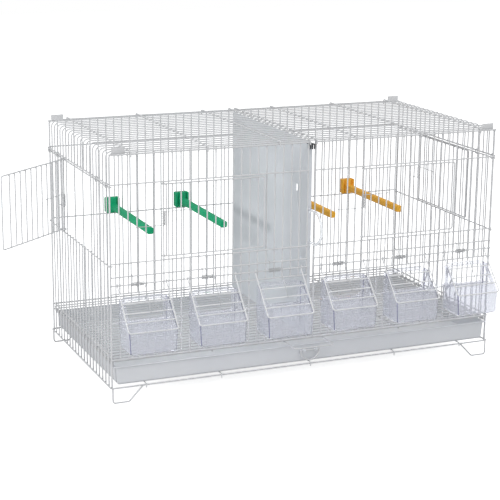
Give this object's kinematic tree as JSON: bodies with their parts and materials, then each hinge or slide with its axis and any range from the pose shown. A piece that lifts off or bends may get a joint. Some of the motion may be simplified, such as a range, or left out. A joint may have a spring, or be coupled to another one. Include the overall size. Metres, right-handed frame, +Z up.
{
  "type": "canary breeding cage",
  "caption": "A wire breeding cage for canaries with a sliding divider, outside feeder cups, a pull-out tray, perches and a nest door standing open.",
  "frame": {"origin": "the middle of the box round the cage with its left nest door standing open, on the floor that the feet stand on", "axes": "+X runs along the front from the left wall to the right wall, +Y runs from the front with its feeders to the back wall, and +Z is up"},
  "size_m": [0.9138, 0.4443, 0.4563],
  "materials": {
    "coated_wire": "satin off-white coated wire",
    "spring_wire": "satin coated spring wire",
    "painted_sheet": "smooth pale grey enamel on steel sheet",
    "divider_sheet": "pale blue-grey enamel on thin steel sheet",
    "feeder_cup": "clear moulded plastic with a lavender cast",
    "clear_pull": "milky clear plastic",
    "dark_catch": "matte dark grey plastic",
    "green_plastic": "satin moulded green plastic",
    "orange_plastic": "satin moulded orange plastic"
  },
  "bodies": {
    "cage": {"front_panel_left": "coated_wire", "front_panel_right": "coated_wire", "back_panel": "coated_wire", "left_side_panel": "coated_wire", "right_side_panel": "coated_wire", "roof_panel": "coated_wire", "base_rails": "coated_wire", "tray_support_wires": "coated_wire", "panel_clips": "coated_wire", "stacking_tabs": "coated_wire", "foot_front_left": "coated_wire", "foot_front_right": "coated_wire", "foot_back_left": "coated_wire", "foot_back_right": "coated_wire", "perch_1": "green_plastic", "perch_2": "green_plastic", "perch_3": "orange_plastic", "perch_4": "orange_plastic", "perch_clamp_1": "green_plastic", "perch_clamp_2": "green_plastic", "perch_clamp_3": "orange_plastic", "perch_clamp_4": "orange_plastic", "flap_spring_1": "spring_wire", "flap_spring_2": "spring_wire", "flap_spring_3": "spring_wire", "flap_spring_4": "spring_wire", "flap_spring_5": "spring_wire", "flap_spring_6": "spring_wire", "front_door_spring_left": "spring_wire", "front_door_spring_right": "spring_wire", "left_door_spring": "spring_wire", "right_door_spring": "spring_wire"},
    "tray": {"tray": "painted_sheet", "tray_pull_bracket": "painted_sheet"},
    "tray_pull": {"tray_pull": "painted_sheet"},
    "floor_grille": {"floor_grille": "coated_wire"},
    "divider": {"divider_sheet": "divider_sheet", "divider_pull": "clear_pull", "divider_catch": "dark_catch"},
    "feeder_cup_1": {"feeder_cup_1": "feeder_cup"},
    "feeder_cup_2": {"feeder_cup_2": "feeder_cup"},
    "feeder_cup_3": {"feeder_cup_3": "feeder_cup"},
    "feeder_cup_4": {"feeder_cup_4": "feeder_cup"},
    "feeder_cup_5": {"feeder_cup_5": "feeder_cup"},
    "feeder_cup_6": {"feeder_cup_6": "feeder_cup"},
    "feeder_flap_1": {"feeder_flap_1": "coated_wire"},
    "feeder_flap_2": {"feeder_flap_2": "coated_wire"},
    "feeder_flap_3": {"feeder_flap_3": "coated_wire"},
    "feeder_flap_4": {"feeder_flap_4": "coated_wire"},
    "feeder_flap_5": {"feeder_flap_5": "coated_wire"},
    "feeder_flap_6": {"feeder_flap_6": "coated_wire"},
    "front_door_left": {"front_door_left": "coated_wire"},
    "front_door_right": {"front_door_right": "coated_wire"},
    "left_side_door": {"left_side_door": "coated_wire"},
    "right_side_door": {"right_side_door": "coated_wire"}
  },
  "joints": [
    {"name": "front_door_left_hinge", "type": "hinge", "parent": "cage", "child": "front_door_left", "pos_m": [-0.21188, -0.15905, 0.3241], "axis": [0, 0, -1], "range_deg": [0, 100], "stiffness_Nm_per_rad": 0.05, "deforming": ["front_door_spring_left"]},
    {"name": "front_door_right_hinge", "type": "hinge", "parent": "cage", "child": "front_door_right", "pos_m": [0.17552, -0.15905, 0.3241], "axis": [0, 0, -1], "range_deg": [0, 100], "stiffness_Nm_per_rad": 0.05, "deforming": ["front_door_spring_right"]},
    {"name": "left_side_door_hinge", "type": "hinge", "parent": "cage", "child": "left_side_door", "pos_m": [-0.30908, 0.12175, 0.3226], "axis": [0, 0, -1], "range_deg": [-50.7, 49.3], "deforming": ["left_door_spring"]},
    {"name": "right_side_door_hinge", "type": "hinge", "parent": "cage", "child": "right_side_door", "pos_m": [0.45092, 0.12175, 0.3226], "axis": [0, 0, 1], "range_deg": [0, 100], "stiffness_Nm_per_rad": 0.05, "deforming": ["right_door_spring"]},
    {"name": "feeder_cup_1_slide", "type": "slide", "parent": "cage", "child": "feeder_cup_1", "axis": [0, -1, 0], "range_m": [0, 0.07]},
    {"name": "feeder_cup_2_slide", "type": "slide", "parent": "cage", "child": "feeder_cup_2", "axis": [0, -1, 0], "range_m": [0, 0.07]},
    {"name": "feeder_cup_3_slide", "type": "slide", "parent": "cage", "child": "feeder_cup_3", "axis": [0, -1, 0], "range_m": [0, 0.07]},
    {"name": "feeder_cup_4_slide", "type": "slide", "parent": "cage", "child": "feeder_cup_4", "axis": [0, -1, 0], "range_m": [0, 0.07]},
    {"name": "feeder_cup_5_slide", "type": "slide", "parent": "cage", "child": "feeder_cup_5", "axis": [0, -1, 0], "range_m": [0, 0.07]},
    {"name": "feeder_cup_6_slide", "type": "slide", "parent": "cage", "child": "feeder_cup_6", "axis": [0, -1, 0], "range_m": [0, 0.07]},
    {"name": "feeder_flap_1_hinge", "type": "hinge", "parent": "cage", "child": "feeder_flap_1", "pos_m": [-0.25238, -0.16149, 0.2146], "axis": [-1, 0, 0], "range_deg": [0, 70], "deforming": ["flap_spring_1"]},
    {"name": "feeder_flap_2_hinge", "type": "hinge", "parent": "cage", "child": "feeder_flap_2", "pos_m": [-0.12278, -0.16149, 0.2146], "axis": [-1, 0, 0], "range_deg": [0, 70], "deforming": ["flap_spring_2"]},
    {"name": "feeder_flap_3_hinge", "type": "hinge", "parent": "cage", "child": "feeder_flap_3", "pos_m": [0.00682, -0.16149, 0.2146], "axis": [-1, 0, 0], "range_deg": [0, 70], "deforming": ["flap_spring_3"]},
    {"name": "feeder_flap_4_hinge", "type": "hinge", "parent": "cage", "child": "feeder_flap_4", "pos_m": [0.13502, -0.16149, 0.2146], "axis": [-1, 0, 0], "range_deg": [0, 70], "deforming": ["flap_spring_4"]},
    {"name": "feeder_flap_5_hinge", "type": "hinge", "parent": "cage", "child": "feeder_flap_5", "pos_m": [0.26462, -0.16149, 0.2146], "axis": [-1, 0, 0], "range_deg": [0, 70], "deforming": ["flap_spring_5"]},
    {"name": "feeder_flap_6_hinge", "type": "hinge", "parent": "cage", "child": "feeder_flap_6", "pos_m": [0.39422, -0.16149, 0.2146], "axis": [-1, 0, 0], "range_deg": [0, 70], "deforming": ["flap_spring_6"]},
    {"name": "tray_slide", "type": "slide", "parent": "cage", "child": "tray", "axis": [0, -1, 0], "range_m": [0, 0.35]},
    {"name": "tray_pull_hinge", "type": "hinge", "parent": "tray", "child": "tray_pull", "pos_m": [0.07162, -0.16405, 0.05564], "axis": [-1, 0, 0], "range_deg": [0, 95]},
    {"name": "floor_grille_slide", "type": "slide", "parent": "cage", "child": "floor_grille", "axis": [0, -1, 0], "range_m": [0, 0.35]},
    {"name": "divider_slide", "type": "slide", "parent": "cage", "child": "divider", "axis": [0, -1, 0], "range_m": [0, 0.365]}
  ],
  "couplings": [
    {"joint": "feeder_flap_1_hinge", "follows": "feeder_cup_1_slide", "rad_per_m": 17.453},
    {"joint": "feeder_flap_2_hinge", "follows": "feeder_cup_2_slide", "rad_per_m": 17.453},
    {"joint": "feeder_flap_3_hinge", "follows": "feeder_cup_3_slide", "rad_per_m": 17.453},
    {"joint": "feeder_flap_4_hinge", "follows": "feeder_cup_4_slide", "rad_per_m": 17.453},
    {"joint": "feeder_flap_5_hinge", "follows": "feeder_cup_5_slide", "rad_per_m": 17.453},
    {"joint": "feeder_flap_6_hinge", "follows": "feeder_cup_6_slide", "rad_per_m": 17.453}
  ]
}
